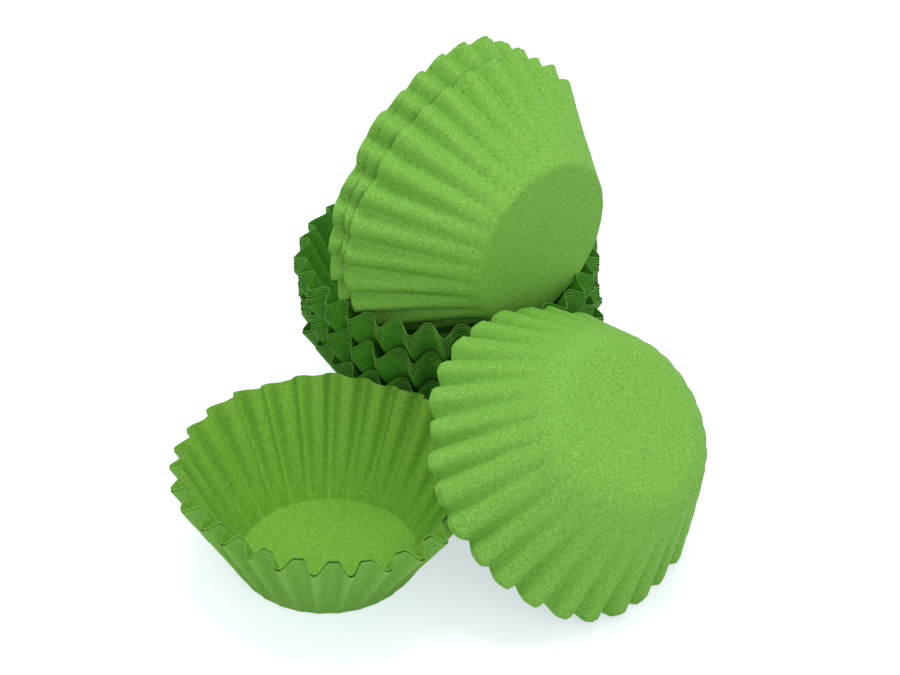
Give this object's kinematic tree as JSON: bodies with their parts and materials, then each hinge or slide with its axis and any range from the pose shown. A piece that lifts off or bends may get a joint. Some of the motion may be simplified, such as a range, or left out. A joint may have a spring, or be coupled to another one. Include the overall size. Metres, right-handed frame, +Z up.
{
  "type": "stack of candy cups",
  "caption": "Nested fluted paper candy cups in a pile: a tall stack of upright cups, a nest lying in its mouth, an open nest beside it and one propped upside down.",
  "frame": {"origin": "middle of the foot of the upright stack, on the surface that the pile stands on", "axes": "+Z up, -Y towards the side where the open nest and the propped nest are, +X towards the propped nest"},
  "size_m": [0.0734, 0.0847, 0.0595],
  "materials": {
    "stack_paper": "matte, thin greaseproof paper dyed green, deeper where the nested cups shade each other",
    "leaf_paper": "matte, thin greaseproof paper dyed leaf green"
  },
  "bodies": {
    "root": {"stack_cup_01": "stack_paper", "stack_cup_02": "stack_paper", "stack_cup_03": "stack_paper", "stack_cup_04": "stack_paper", "stack_cup_05": "stack_paper", "stack_cup_06": "stack_paper", "stack_cup_07": "stack_paper", "stack_cup_08": "stack_paper", "stack_cup_09": "stack_paper", "stack_cup_10": "stack_paper", "stack_cup_11": "stack_paper", "stack_cup_12": "stack_paper", "stack_cup_13": "stack_paper", "stack_cup_14": "stack_paper", "lying_cup_1": "leaf_paper", "lying_cup_2": "leaf_paper", "lying_cup_3": "leaf_paper", "standing_cup_1": "leaf_paper", "standing_cup_2": "leaf_paper", "propped_cup_1": "leaf_paper", "propped_cup_2": "leaf_paper", "propped_cup_3": "leaf_paper"}
  },
  "joints": []
}
